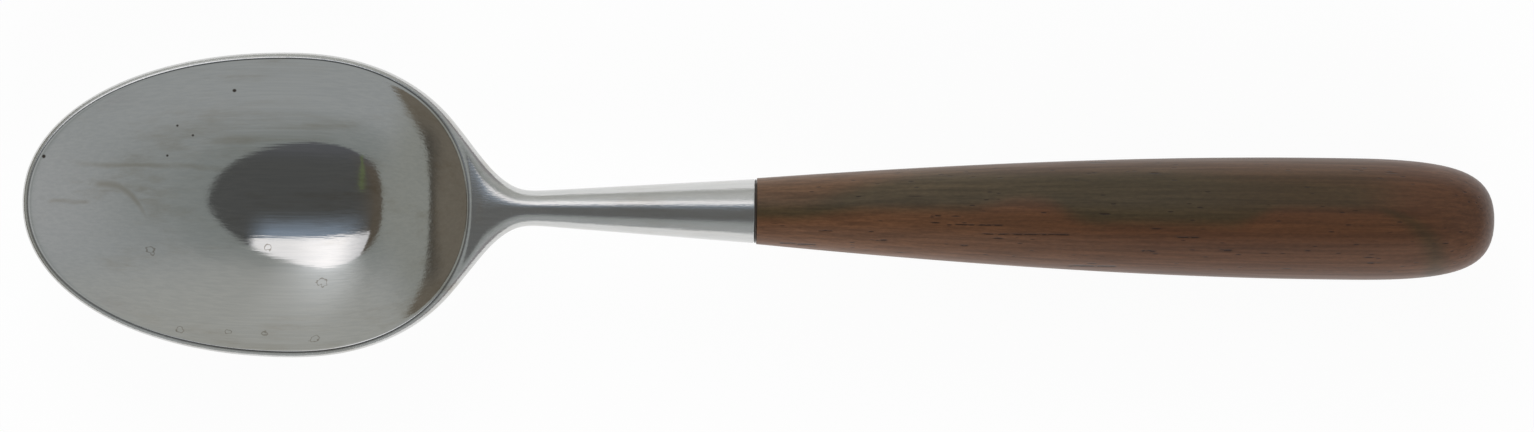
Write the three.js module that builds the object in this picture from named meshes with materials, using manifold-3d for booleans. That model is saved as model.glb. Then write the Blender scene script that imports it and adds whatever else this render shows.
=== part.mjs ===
// Teaspoon lying on its back: a polished steel head whose round bolster meets a turned wooden handle.
// Millimetres, +Z up. The bowl points to -X, and the origin is on the table, midway along the spoon.
// A station is a distance along X from the tip of the bowl.

import * as THREE from "three";
import { mergeVertices } from "three/addons/utils/BufferGeometryUtils.js";
import Module from "manifold-3d";

const wasm = await Module();
wasm.setup();

const degrees = THREE.MathUtils.degToRad;
const { clamp, lerp, smoothstep } = THREE.MathUtils;

// Bowl
const BOWL_LENGTH = 48; // from the tip to the rear of the rim
const BOWL_WIDTH = 32.4;
const BOWL_WIDEST = 28.3; // station of the widest place
const BOWL_DEEPEST = 28; // station of the deepest place
const BOWL_DEPTH = 7; // inside, below the rim
const BOWL_WALL = 1.1; // steel under the deepest place
const TIP_FULLNESS = 2.1; // 2 is an ellipse, more is squarer
const REAR_FULLNESS = 2.2; // the same, behind the widest place
const RIM_WIDTH = 0.7;
const RIM_EDGE = 0.7; // height of the rounding outside the rim
const RIM_EDGE_CURVE = 0.3; // power of that rounding, 1 is an ellipse
const RIM_SWEEP = 0.6; // how much higher the rim is at the tip than at the sides
const REST_FLAT = 0.2; // depth of steel worn off the underside

// Shoulders, neck and bolster
const SHOULDER_WIDTH = 14.4; // where the outline turns from bulging to hollow
const SHOULDER_TO_RIM = 0.8; // that place, ahead of the rear of the rim
const SHOULDER_SLOPE = degrees(56);
const SHOULDER_REACH = 10; // how far ahead of the rim's rear the neck's section starts
const NECK_LENGTH = 5.7; // from the rear of the rim to the narrowest place
const NECK_WIDTH = 3.6;
const NECK_ROOT_THICKNESS = 2.8; // at the rear of the rim
const NECK_RISE = degrees(7);
const NECK_FILLET = 1.5; // blends the neck into the rim above and the bowl below
const BOLSTER_LENGTH = 23.85;
const BOLSTER_WIDTH = 6.8;

// Handle
const HANDLE_LENGTH = 78.25;
const HANDLE_WIDTH = 12.9;
const HANDLE_WIDEST = 59.75; // from the front of the handle
const HANDLE_TAPER = 0.58; // share of that length at which the taper's control point is
const HANDLE_PROUD = 0.1; // the wood stands this far outside the bolster
const HANDLE_END = 15.3; // length of the rounded end
const HANDLE_END_FULLNESS = 0.78; // 0.55 is an ellipse, more is squarer
const HANDLE_TILT = degrees(1);

// Tang and adhesive
const TANG_DIAMETER = 3;
const TANG_BEVEL = 0.4;
const TANG_IN_BOLSTER = 9;
const TANG_IN_HANDLE = 42;
const ADHESIVE_SLEEVE = 0.3;
const ADHESIVE_FILM = 0.15; // between the bolster and the wood
const ADHESIVE_PLUG = 1.2; // beyond the end of the tang
const FIT = 0.05; // clearance between neighbours

// Fineness of the round shapes
const BOWL_ROWS = 30;
const NECK_ROWS = 18;
const HEAD_SIDES = 40;
const CAVITY_SIDES = 48;
const CAVITY_RINGS = 10;
const HANDLE_SIDES = 36;
const CURVE_STEPS = 14;
const TANG_SIDES = 24;

// Places worked out from the sizes
const neckStation = BOWL_LENGTH + NECK_LENGTH;
const jointStation = neckStation + BOLSTER_LENGTH;
const rimHeight = BOWL_DEPTH + BOWL_WALL - REST_FLAT;
const tangRadius = TANG_DIAMETER / 2;
const sleeveRadius = tangRadius + FIT + ADHESIVE_SLEEVE;
const boreRadius = sleeveRadius + FIT;
const boreEnd = TANG_IN_HANDLE + FIT + ADHESIVE_PLUG + FIT;
const handleFront = FIT + ADHESIVE_FILM + FIT;
const handleFrontRadius = BOLSTER_WIDTH / 2 + HANDLE_PROUD;
const handleProfile = handleOutline();
const jointHeight = restingHeight(handleProfile);
const shoulderCurves = shoulderOutline();
const neckLine = neckCentre();

// The greater of two heights, rounded over where they come within reach of each other.
function smoothMax(a, b, reach) {
  return Math.max(a, b) + Math.max(reach - Math.abs(a - b), 0) ** 2 / (4 * reach);
}

function smoothMin(a, b, reach) {
  return -smoothMax(-a, -b, reach);
}

// Reads a quadratic curve, whose X only grows, at one station.
function quadraticAt(curve, station) {
  const { v0, v1, v2 } = curve;
  const square = v0.x - 2 * v1.x + v2.x;
  const half = v1.x - v0.x;
  const ahead = station - v0.x;
  const along = ahead / (half + Math.sqrt(half * half + square * ahead));
  return curve.getPoint(along).y;
}

// Side of the handle from its front face to its end: X runs along the handle, Y is the radius.
function handleOutline() {
  const radius = HANDLE_WIDTH / 2;
  const end = handleFront + HANDLE_LENGTH;
  const widest = handleFront + HANDLE_WIDEST;
  const roundFrom = Math.max(end - HANDLE_END, widest);
  const outline = new THREE.Path();
  outline.moveTo(handleFront, handleFrontRadius);
  outline.quadraticCurveTo(lerp(handleFront, widest, HANDLE_TAPER), radius, widest, radius);
  outline.lineTo(roundFrom, radius);
  outline.bezierCurveTo(
    lerp(roundFrom, end, HANDLE_END_FULLNESS), radius,
    end, radius * HANDLE_END_FULLNESS,
    end, 0,
  );
  return outline.getPoints(CURVE_STEPS);
}

// Height of the joint at which the tilted handle just touches the table.
function restingHeight(profile) {
  const depths = profile.map((p) => p.x * Math.sin(HANDLE_TILT) + p.y * Math.cos(HANDLE_TILT));
  return Math.max(...depths);
}

// Half of the head's outline behind its widest place: a bulging curve, then a hollow one.
function shoulderOutline() {
  const bowl = BOWL_WIDTH / 2;
  const shoulder = SHOULDER_WIDTH / 2;
  const neck = NECK_WIDTH / 2;
  const station = BOWL_LENGTH - SHOULDER_TO_RIM;
  const slope = Math.tan(SHOULDER_SLOPE);
  const turn = new THREE.Vector2(station, shoulder);
  const bulge = new THREE.QuadraticBezierCurve(
    new THREE.Vector2(BOWL_WIDEST, bowl),
    new THREE.Vector2(station - (bowl - shoulder) / slope, bowl),
    turn,
  );
  const hollow = new THREE.QuadraticBezierCurve(
    turn,
    new THREE.Vector2(station + (shoulder - neck) / slope, neck),
    new THREE.Vector2(neckStation, neck),
  );
  return { bulge, hollow };
}

// Centre line of the neck and bolster in side view. Its control points are evenly spaced in X.
function neckCentre() {
  const third = (jointStation - BOWL_LENGTH) / 3;
  const root = rimLevel(BOWL_LENGTH) - NECK_ROOT_THICKNESS / 2;
  return new THREE.CubicBezierCurve(
    new THREE.Vector2(BOWL_LENGTH, root),
    new THREE.Vector2(BOWL_LENGTH + third, root + third * Math.tan(NECK_RISE)),
    new THREE.Vector2(jointStation - third, jointHeight + third * Math.tan(HANDLE_TILT)),
    new THREE.Vector2(jointStation, jointHeight),
  );
}

// Ahead of the rim's rear the line runs on under the bowl and levels out.
function neckCentreAt(station) {
  const behind = station - BOWL_LENGTH;
  if (behind < 0) {
    const ahead = Math.min(-behind / SHOULDER_REACH, 1);
    const fall = SHOULDER_REACH * Math.tan(NECK_RISE) * (ahead - (ahead * ahead) / 2);
    return neckLine.v0.y - fall;
  }
  return neckLine.getPoint(behind / (jointStation - BOWL_LENGTH)).y;
}

// Half the thickness of the neck and bolster: round behind the narrowest place, flatter at the root.
function neckHalfHeight(station) {
  const round = coneHalfWidth(station);
  const share = smoothstep(station, BOWL_LENGTH, neckStation);
  return lerp(NECK_ROOT_THICKNESS / 2, round, share);
}

function coneHalfWidth(station) {
  const along = Math.max(station - neckStation, 0) / BOLSTER_LENGTH;
  return lerp(NECK_WIDTH, BOLSTER_WIDTH, along) / 2;
}

// Height of the rim, which sweeps up to the tip and the rear.
function rimLevel(station) {
  const along = (Math.min(station, BOWL_LENGTH) - BOWL_DEEPEST) / BOWL_DEEPEST;
  return rimHeight + RIM_SWEEP * along * along;
}

// Half-width of the rim's egg-shaped outline, or of a smaller one inside it.
function rimHalfWidth(station, inset) {
  const ahead = station < BOWL_WIDEST;
  const reach = (ahead ? BOWL_WIDEST : BOWL_LENGTH - BOWL_WIDEST) - inset;
  const power = ahead ? TIP_FULLNESS : REAR_FULLNESS;
  const along = Math.min(Math.abs(station - BOWL_WIDEST) / reach, 1);
  return (BOWL_WIDTH / 2 - inset) * (1 - along ** power) ** (1 / power);
}

// Half-width of the steel head as seen from above.
function headHalfWidth(station) {
  if (station <= BOWL_WIDEST) {
    return rimHalfWidth(station, 0);
  }
  if (station <= shoulderCurves.hollow.v0.x) {
    return quadraticAt(shoulderCurves.bulge, station);
  }
  if (station <= neckStation) {
    return quadraticAt(shoulderCurves.hollow, station);
  }
  return coneHalfWidth(station);
}

// Share of the bowl's full depth on its centre line: 1 at the deepest place, 0 at both ends.
function depthShare(station, inset) {
  const half = BOWL_LENGTH / 2 - inset;
  const shift = BOWL_DEEPEST - BOWL_LENGTH / 2;
  const away = station - BOWL_DEEPEST;
  const scaled = (2 * away) / (half + Math.sqrt(Math.max(half * half - 4 * shift * away, 0)));
  return 1 - scaled * scaled;
}

// One section of the head: where its top, its widest edge and its bottom are, and how they curve.
function headSection(station) {
  const share = smoothstep(station, BOWL_WIDEST, BOWL_LENGTH);
  const rounding = smoothstep(station, BOWL_LENGTH - SHOULDER_REACH / 2, neckStation);
  const neckHeight = neckHalfHeight(station);
  const centre = neckCentreAt(station);
  const bowlBelow = (BOWL_DEPTH + BOWL_WALL - RIM_EDGE) * depthShare(station, 0);
  let top = rimLevel(station);
  let bottom = top - RIM_EDGE - bowlBelow;
  if (station > BOWL_DEEPEST) {
    top = smoothMax(top, centre + neckHeight, NECK_FILLET);
    bottom = smoothMin(bottom, centre - neckHeight, NECK_FILLET);
  }
  const edge = top - lerp(RIM_EDGE, neckHeight, share);
  return {
    edge,
    above: top - edge,
    below: edge - bottom,
    topPower: lerp(RIM_EDGE_CURVE, 1, rounding),
    bottomPower: lerp(2, 1, smoothstep(station, BOWL_LENGTH - SHOULDER_REACH, neckStation)),
  };
}

// Places a point of the unit circle on the section at a station, leaning back into the handle's tilt.
function onHead(station, across, up) {
  const section = headSection(station);
  const rise = up < 0
    ? -section.below * (-up) ** section.bottomPower
    : section.above * up ** section.topPower;
  const lean = HANDLE_TILT * clamp((station - neckStation) / BOLSTER_LENGTH, 0, 1);
  return [
    station + rise * Math.sin(lean),
    across * headHalfWidth(station),
    section.edge + rise * Math.cos(lean),
  ];
}

// Stations of the head's sections, closest together at the tip and at the rear of the rim.
function headStations() {
  const stations = [];
  for (let i = 0; i <= BOWL_ROWS; i += 1) {
    stations.push((BOWL_LENGTH * (1 - Math.cos((Math.PI * i) / BOWL_ROWS))) / 2);
  }
  for (let i = 1; i <= NECK_ROWS; i += 1) {
    const along = i / NECK_ROWS;
    stations.push(lerp(BOWL_LENGTH, jointStation, (along + along * along) / 2));
  }
  return stations;
}

// Bends a closed unit cylinder so that its rows sit at the stations.
function headBody() {
  const stations = headStations();
  const body = new THREE.CylinderGeometry(1, 1, 1, HEAD_SIDES, stations.length - 1);
  const corners = body.attributes.position;
  for (let i = 0; i < corners.count; i += 1) {
    const row = Math.round((corners.getY(i) + 0.5) * (stations.length - 1));
    corners.setXYZ(i, ...onHead(stations[row], corners.getZ(i), corners.getX(i)));
  }
  return body;
}

// Height of the bowl's inside surface.
function bowlFloor(station, across) {
  const halfWidth = Math.max(rimHalfWidth(station, RIM_WIDTH), 1e-6);
  const share = depthShare(station, RIM_WIDTH) * (1 - (across / halfWidth) ** 2);
  return rimLevel(station) - BOWL_DEPTH * Math.max(share, 0);
}

function signedPower(value, power) {
  return Math.sign(value) * Math.abs(value) ** power;
}

// Space inside the bowl, with straight walls above the rim.
function bowlCavity() {
  const lid = rimHeight + RIM_SWEEP + BOWL_WALL;
  const profile = [];
  for (let i = 0; i <= CAVITY_RINGS; i += 1) {
    profile.push(new THREE.Vector2(i / CAVITY_RINGS, 0));
  }
  profile.push(new THREE.Vector2(1, 1), new THREE.Vector2(0, 1));
  const cavity = new THREE.LatheGeometry(profile, CAVITY_SIDES).rotateX(Math.PI / 2);
  const corners = cavity.attributes.position;
  for (let i = 0; i < corners.count; i += 1) {
    const angle = Math.atan2(corners.getY(i), corners.getX(i));
    const share = Math.hypot(corners.getX(i), corners.getY(i));
    const ahead = Math.cos(angle) < 0;
    const reach = (ahead ? BOWL_WIDEST : BOWL_LENGTH - BOWL_WIDEST) - RIM_WIDTH;
    const power = 2 / (ahead ? TIP_FULLNESS : REAR_FULLNESS);
    const along = signedPower(Math.cos(angle), power);
    const side = signedPower(Math.sin(angle), power);
    const station = BOWL_WIDEST + share * reach * along;
    const across = share * side * (BOWL_WIDTH / 2 - RIM_WIDTH);
    const floor = bowlFloor(station, across);
    corners.setXYZ(i, station, across, corners.getZ(i) > 0.5 ? lid : floor);
  }
  return cavity;
}

// Hole in the end of the bolster that the tang is pressed into.
function tangSeat() {
  const depth = TANG_IN_BOLSTER + FIT;
  const outside = 1;
  const seat = new THREE.CylinderGeometry(
    tangRadius + FIT, tangRadius + FIT, depth + outside, TANG_SIDES,
  );
  seat.rotateZ(-Math.PI / 2);
  seat.translate((outside - depth) / 2, 0, 0);
  return seat.applyMatrix4(jointPlace());
}

// Block under the table, which takes the worn flat off the bowl.
function underTable() {
  return new THREE.BoxGeometry(BOWL_LENGTH, BOWL_WIDTH, BOWL_DEPTH)
    .translate(BOWL_LENGTH / 2, 0, -BOWL_DEPTH / 2);
}

// Carries the handle's own frame, X along it from the bolster's end face, to the tilted joint.
function jointPlace() {
  return new THREE.Matrix4()
    .makeRotationY(HANDLE_TILT)
    .setPosition(jointStation, 0, jointHeight);
}

function toManifold(geometry) {
  geometry.deleteAttribute("normal");
  geometry.deleteAttribute("uv");
  const merged = mergeVertices(geometry);
  const mesh = new wasm.Mesh({
    numProp: 3,
    vertProperties: new Float32Array(merged.attributes.position.array),
    triVerts: new Uint32Array(merged.index.array),
  });
  return new wasm.Manifold(mesh);
}

function toGeometry(manifold) {
  const { vertProperties, triVerts } = manifold.getMesh();
  const geometry = new THREE.BufferGeometry();
  geometry.setAttribute("position", new THREE.BufferAttribute(vertProperties, 3));
  geometry.setIndex(new THREE.BufferAttribute(triVerts, 1));
  geometry.computeVertexNormals();
  return geometry;
}

// Forged in one piece: bowl, shoulders, neck and bolster.
function spoonHead() {
  const solid = [bowlCavity(), tangSeat(), underTable()]
    .map(toManifold)
    .reduce((body, cut) => body.subtract(cut), toManifold(headBody()));
  const steel = new THREE.MeshStandardMaterial({ color: 0xc4c2bc, roughness: 0.22, metalness: 1 });
  return named("spoon_head", toGeometry(solid), steel);
}

// A body of revolution along X from points of station and radius.
function turned(points, sides) {
  const profile = points.map(([along, radius]) => new THREE.Vector2(radius, along));
  return new THREE.LatheGeometry(profile, sides).rotateZ(-Math.PI / 2);
}

// Round rod, bevelled at both ends.
function tang() {
  const geometry = turned([
    [-TANG_IN_BOLSTER, 0],
    [-TANG_IN_BOLSTER, tangRadius - TANG_BEVEL],
    [-TANG_IN_BOLSTER + TANG_BEVEL, tangRadius],
    [TANG_IN_HANDLE - TANG_BEVEL, tangRadius],
    [TANG_IN_HANDLE, tangRadius - TANG_BEVEL],
    [TANG_IN_HANDLE, 0],
  ], TANG_SIDES);
  const steel = new THREE.MeshStandardMaterial({ color: 0x9a9792, roughness: 0.5, metalness: 1 });
  return named("tang", geometry, steel);
}

// Set adhesive: a film behind the bolster, a sleeve round the tang and a plug beyond it.
function tangAdhesive() {
  const filmRadius = BOLSTER_WIDTH / 2 - FIT;
  const geometry = turned([
    [TANG_IN_HANDLE + FIT, 0],
    [TANG_IN_HANDLE + FIT, tangRadius + FIT],
    [FIT, tangRadius + FIT],
    [FIT, filmRadius],
    [FIT + ADHESIVE_FILM, filmRadius],
    [FIT + ADHESIVE_FILM, sleeveRadius],
    [boreEnd - FIT, sleeveRadius],
    [boreEnd - FIT, 0],
  ], TANG_SIDES);
  const resin = new THREE.MeshStandardMaterial({ color: 0x2c231c, roughness: 0.5, metalness: 0 });
  return named("tang_adhesive", geometry, resin);
}

// Turned wood with a blind bore for the tang.
function handle() {
  const outside = handleProfile.map((p) => [p.x, p.y]);
  const bore = [[boreEnd, 0], [boreEnd, boreRadius], [handleFront, boreRadius]];
  const geometry = turned([...bore, ...outside], HANDLE_SIDES);
  const wood = new THREE.MeshStandardMaterial({ color: 0x573f31, roughness: 0.45, metalness: 0 });
  return named("handle", geometry, wood);
}

function named(name, geometry, material) {
  const mesh = new THREE.Mesh(geometry, material);
  mesh.name = name;
  return mesh;
}

const handleEnd = new THREE.Group();
handleEnd.name = "handle_end";
handleEnd.add(tang(), tangAdhesive(), handle());
handleEnd.applyMatrix4(jointPlace());

const spoon = new THREE.Group();
spoon.name = "teaspoon";
spoon.add(spoonHead(), handleEnd);

// Moves the middle of the overall length to the origin.
const extent = new THREE.Box3().setFromObject(spoon, true);
spoon.position.x = -(extent.min.x + extent.max.x) / 2;

export default spoon;
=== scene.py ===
"""Looks of a steel teaspoon with a turned rosewood handle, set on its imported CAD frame.

Metres, +Z up. The bowl points to -X. A station is a distance along X from the tip of the bowl.
"""

from collections import namedtuple
from math import atan2, copysign, cos, hypot, pi, radians, sin, sqrt, tan

import bmesh
import bpy
from mathutils import Matrix, Vector
from mathutils.geometry import interpolate_bezier


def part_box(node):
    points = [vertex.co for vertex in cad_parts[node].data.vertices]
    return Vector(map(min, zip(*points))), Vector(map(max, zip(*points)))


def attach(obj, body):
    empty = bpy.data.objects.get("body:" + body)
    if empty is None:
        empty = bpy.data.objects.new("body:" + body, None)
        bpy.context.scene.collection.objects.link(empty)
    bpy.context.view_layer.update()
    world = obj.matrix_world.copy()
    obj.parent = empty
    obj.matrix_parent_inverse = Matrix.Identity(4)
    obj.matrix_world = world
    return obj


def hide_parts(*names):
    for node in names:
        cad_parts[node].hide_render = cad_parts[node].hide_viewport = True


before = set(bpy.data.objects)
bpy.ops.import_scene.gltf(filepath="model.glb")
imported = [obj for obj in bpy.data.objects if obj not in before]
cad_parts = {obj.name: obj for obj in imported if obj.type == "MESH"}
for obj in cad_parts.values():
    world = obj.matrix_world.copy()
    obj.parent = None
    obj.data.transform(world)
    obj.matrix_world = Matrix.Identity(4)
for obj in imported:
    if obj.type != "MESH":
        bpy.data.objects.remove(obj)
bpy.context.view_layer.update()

# Bowl
BOWL_LENGTH = 0.048  # from the tip to the rear of the rim
BOWL_HALF_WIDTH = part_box("spoon_head")[1].y
BOWL_WIDEST = 0.0283  # station of the widest place
BOWL_DEEPEST = 0.028  # station of the deepest place
BOWL_DEPTH = 0.007
BOWL_WALL = 0.0011
TIP_FULLNESS = 2.1  # 2 is an ellipse, more is squarer
REAR_FULLNESS = 2.2  # the same, behind the widest place
RIM_WIDTH = 0.0007
RIM_EDGE = 0.0007  # height of the rim's outer side
RIM_HEIGHT = 0.0079
RIM_SWEEP = 0.0006  # how much higher the rim is at the tip than at the sides

# Shoulders, neck and bolster
SHOULDER_HALF_WIDTH = 0.0072  # where the outline turns from bulging to hollow
SHOULDER_STATION = 0.0472
SHOULDER_SLOPE = radians(56)
SHOULDER_MOST = 1.4  # the shoulder is at most this many times further from the bowl's centre than the rim
NECK_STATION = 0.0537  # the narrowest place
NECK_HALF_WIDTH = 0.0018
NECK_ROOT_HALF_HEIGHT = 0.0018
NECK_RISE = radians(7)
NECK_CREST = 0.0006  # how far the neck's root stands above the rear of the rim
CREST_HALF_WIDTH = 0.0095
CREST_FROM = 0.6  # share of the way to the rim at which the bowl starts to rise to the crest
NECK_START = 0.0489  # station of the neck's first section
BOLSTER_STATION = 0.07755  # end face of the bolster
BOLSTER_RADIUS = 0.0034
BOLSTER_EDGE = 0.00006  # rounding of the end face
BOLSTER_FACE = 0.8  # share of the end face's radius at which its innermost ring is

# Handle, measured along it from the bolster's end face
HANDLE_FRONT = 0.00025
HANDLE_LENGTH = 0.07824
HANDLE_RADIUS = 0.006447
HANDLE_FRONT_RADIUS = 0.0035
HANDLE_WIDEST = 0.05975  # from the front of the handle
HANDLE_TAPER = 0.58  # share of that length at which the taper's control point is
HANDLE_END = 0.0153  # length of the rounded end
HANDLE_END_FULLNESS = 0.78  # 0.55 is an ellipse, more is squarer
HANDLE_TILT = radians(1)
HANDLE_EDGE = 0.00006  # softening of the turned edge at the front
BORE_RADIUS = 0.0019
BORE_END = 0.0433
TANG_IN_BOLSTER = 0.009
TANG_IN_HANDLE = 0.042

# Fineness
DISC_CELLS = 12  # cells across the middle of the bowl
RING_SIDES = 4 * DISC_CELLS
RING_STEP = 2 * pi / RING_SIDES
SHOULDER_HALVINGS = 30  # tries at finding the shoulder
NECK_RINGS = 14
SMOOTHING = 3
HANDLE_SIDES = 128
TAPER_STEPS = 24
END_STEPS = 24

# Rings of the head, from the bowl's floor over the rim to the underside
FLOOR_SHARES = (0.5, 0.66, 0.8, 0.91, 0.965, 0.99)
RimRing = namedtuple("RimRing", "inset drop rear_drop flare")
RIM_RINGS = (
    RimRing(0.00078, 0.0001, 0.0001, 0),
    RimRing(0.00066, 0.00001, 0.00001, 0),
    RimRing(0.00044, 0.00006, 0.00004, 0),
    RimRing(0.00016, 0.00024, 0.00018, 0.15),
    RimRing(0, 0.0005, 0.0007, 0.75),
    RimRing(0, 0.0008, 0.0017, 1),
)
UNDER_RIM = RimRing(0.0008, 0, 0.0026, 0.5)
UNDERSIDE_SHARES = (0.9, 0.8, 0.66, 0.5)
RIM_FROM = len(FLOOR_SHARES)
UNDER_FROM = RIM_FROM + len(RIM_RINGS)
LAST_RING = UNDER_FROM + len(UNDERSIDE_SHARES)

# Patch of the head's rear that is drawn out into the neck
PATCH_TOP = RIM_FROM + 3
PATCH_BOTTOM = UNDER_FROM + 1
PATCH_ROWS = PATCH_BOTTOM - PATCH_TOP
PATCH_COLUMNS = 4  # each side of the middle
SECTION_STEP = pi / (2 * PATCH_COLUMNS + PATCH_ROWS)
SECTION_GROWTH = 3 / (2 + cos(SECTION_STEP))  # makes up for what smoothing takes off a round section

TIP_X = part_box("spoon_head")[0].x
BOWL_CENTRE = Vector((BOWL_WIDEST, 0))
HANDLE_AXIS = Vector((cos(HANDLE_TILT), 0, -sin(HANDLE_TILT)))


def joint_place():
    """Middle of the bolster's end face: the tang's middle lies on the handle's axis."""
    low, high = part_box("tang")
    return (low + high) / 2 - HANDLE_AXIS * (TANG_IN_HANDLE - TANG_IN_BOLSTER) / 2


JOINT = joint_place()


def mix(a, b, share):
    return a + (b - a) * share


def smooth_step(low, high, value):
    share = min(max((value - low) / (high - low), 0), 1)
    return share * share * (3 - 2 * share)


# Shape of the head


def signed_power(value, power):
    return copysign(abs(value) ** power, value)


def rim_level(station):
    """Height of the rim, which sweeps up to the tip and the rear."""
    along = (min(station, BOWL_LENGTH) - BOWL_DEEPEST) / BOWL_DEEPEST
    return RIM_HEIGHT + RIM_SWEEP * along * along


def rim_point(angle, inset=0):
    """Station and side of a place on the rim's egg-shaped outline, or on a smaller one inside it."""
    ahead = cos(angle) < 0
    reach = (BOWL_WIDEST if ahead else BOWL_LENGTH - BOWL_WIDEST) - inset
    power = 2 / (TIP_FULLNESS if ahead else REAR_FULLNESS)
    along = reach * signed_power(cos(angle), power)
    side = (BOWL_HALF_WIDTH - inset) * signed_power(sin(angle), power)
    return BOWL_CENTRE + Vector((along, side))


def rim_half_width(station, inset):
    ahead = station < BOWL_WIDEST
    reach = (BOWL_WIDEST if ahead else BOWL_LENGTH - BOWL_WIDEST) - inset
    power = TIP_FULLNESS if ahead else REAR_FULLNESS
    along = min(abs(station - BOWL_WIDEST) / reach, 1)
    return (BOWL_HALF_WIDTH - inset) * (1 - along**power) ** (1 / power)


def depth_share(station, inset):
    """Share of the bowl's depth on its centre line: 1 at the deepest place, 0 at both ends."""
    half = BOWL_LENGTH / 2 - inset
    shift = BOWL_DEEPEST - BOWL_LENGTH / 2
    away = station - BOWL_DEEPEST
    scaled = 2 * away / (half + sqrt(max(half * half - 4 * shift * away, 0)))
    return 1 - scaled * scaled


def hollow_share(place, inset):
    """Share of the bowl's depth anywhere inside the rim."""
    half_width = max(rim_half_width(place.x, inset), 1e-6)
    return depth_share(place.x, inset) * max(1 - (place.y / half_width) ** 2, 0)


def on_head(place, height):
    return Vector((TIP_X + place.x, place.y, height))


def floor_place(share, angle):
    place = BOWL_CENTRE.lerp(rim_point(angle, RIM_WIDTH), share)
    edge = rim_level(place.x) + crest(place) * smooth_step(CREST_FROM, 1, share)
    return on_head(place, edge - BOWL_DEPTH * hollow_share(place, RIM_WIDTH))


def underside_height(place):
    below = (BOWL_DEPTH + BOWL_WALL - RIM_EDGE) * hollow_share(place, 0)
    return max(rim_level(place.x) - RIM_EDGE - below, 0)


def underside_place(share, angle):
    place = BOWL_CENTRE.lerp(rim_point(angle), share)
    return on_head(place, underside_height(place))


def quadratic_at(start, control, end, station):
    """Reads a quadratic curve, whose X only grows, at one station."""
    square = start[0] - 2 * control[0] + end[0]
    half = control[0] - start[0]
    ahead = station - start[0]
    along = ahead / (half + sqrt(half * half + square * ahead))
    return mix(mix(start[1], control[1], along), mix(control[1], end[1], along), along)


def head_half_width(station):
    """Half of the head's outline behind its widest place: bulging, then hollow, then a cone."""
    slope = tan(SHOULDER_SLOPE)
    turn = (SHOULDER_STATION, SHOULDER_HALF_WIDTH)
    if station <= SHOULDER_STATION:
        control = SHOULDER_STATION - (BOWL_HALF_WIDTH - SHOULDER_HALF_WIDTH) / slope
        return quadratic_at((BOWL_WIDEST, BOWL_HALF_WIDTH), (control, BOWL_HALF_WIDTH), turn, station)
    if station <= NECK_STATION:
        control = SHOULDER_STATION + (SHOULDER_HALF_WIDTH - NECK_HALF_WIDTH) / slope
        return quadratic_at(turn, (control, NECK_HALF_WIDTH), (NECK_STATION, NECK_HALF_WIDTH), station)
    return bolster_radius(station)


def bolster_radius(station):
    along = max(station - NECK_STATION, 0) / (BOLSTER_STATION - NECK_STATION)
    return mix(NECK_HALF_WIDTH, BOLSTER_RADIUS, along)


def shoulder_reach(angle):
    """How many times further from the bowl's centre the shoulder is than the rim."""
    spread = max(abs(angle), PATCH_COLUMNS * RING_STEP)
    if spread > pi / 2:
        return 1
    reach = rim_point(spread) - BOWL_CENTRE
    least, most = 1, SHOULDER_MOST
    for _ in range(SHOULDER_HALVINGS):
        middle = (least + most) / 2
        if reach.y * middle < head_half_width(BOWL_WIDEST + reach.x * middle):
            least = middle
        else:
            most = middle
    return least


def flared(ring, angle):
    """Place of a rim ring in plan, drawn out to the shoulder where the neck leaves the bowl."""
    away = rim_point(angle, ring.inset) - BOWL_CENTRE
    return BOWL_CENTRE + away * mix(1, shoulder_reach(angle), ring.flare)


def rear_share(place):
    return smooth_step(BOWL_WIDEST, BOWL_LENGTH, place.x)


def crest(place):
    """Height that the crest of the neck adds to the rear of the rim."""
    side = min(abs(place.y) / CREST_HALF_WIDTH, 1)
    return NECK_CREST * rear_share(place) * (1 - side * side) ** 2


def rim_place(ring, angle):
    place = flared(ring, angle)
    drop = mix(ring.drop, ring.rear_drop, rear_share(place))
    return on_head(place, rim_level(place.x) + crest(place) - drop)


def under_rim_place(angle):
    place = flared(UNDER_RIM, angle)
    front = underside_height(rim_point(angle, UNDER_RIM.inset))
    rear = rim_level(place.x) - UNDER_RIM.rear_drop
    return on_head(place, mix(front, rear, rear_share(place)))


def neck_centre(station):
    """Height of the neck's centre line, a cubic curve from the rim's rear to the joint."""
    length = BOLSTER_STATION - BOWL_LENGTH
    root = rim_level(BOWL_LENGTH) + NECK_CREST - NECK_ROOT_HALF_HEIGHT
    heights = (
        root,
        root + length / 3 * tan(NECK_RISE),
        JOINT.z + length / 3 * tan(HANDLE_TILT),
        JOINT.z,
    )
    along = (station - BOWL_LENGTH) / length
    while len(heights) > 1:
        heights = [mix(a, b, along) for a, b in zip(heights, heights[1:])]
    return heights[0]


def neck_half_height(station):
    share = smooth_step(BOWL_LENGTH, NECK_STATION, station)
    return mix(NECK_ROOT_HALF_HEIGHT, bolster_radius(station), share)


def neck_stations():
    """Stations of the neck's sections and the size of each, closest together at the root."""
    rings = [i / NECK_RINGS for i in range(NECK_RINGS)]
    sections = [(mix(NECK_START, BOLSTER_STATION, (t + t * t) / 2), 1) for t in rings]
    sections.append((BOLSTER_STATION - 2 * BOLSTER_EDGE, 1))
    sections.append((BOLSTER_STATION - BOLSTER_EDGE / 2, 1))
    sections.append((BOLSTER_STATION, 1 - BOLSTER_EDGE / BOLSTER_RADIUS))
    sections.append((BOLSTER_STATION, BOLSTER_FACE))
    return sections


NECK_SECTIONS = neck_stations()


def section_point(row, column):
    """Place on a round section, across and up, for a corner of the patch."""
    if row in (0, PATCH_ROWS):
        angle = column * SECTION_STEP
        return sin(angle), copysign(cos(angle), PATCH_ROWS / 2 - row)
    angle = (PATCH_COLUMNS + row) * SECTION_STEP
    return sin(angle) * column / PATCH_COLUMNS, cos(angle)


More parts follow.
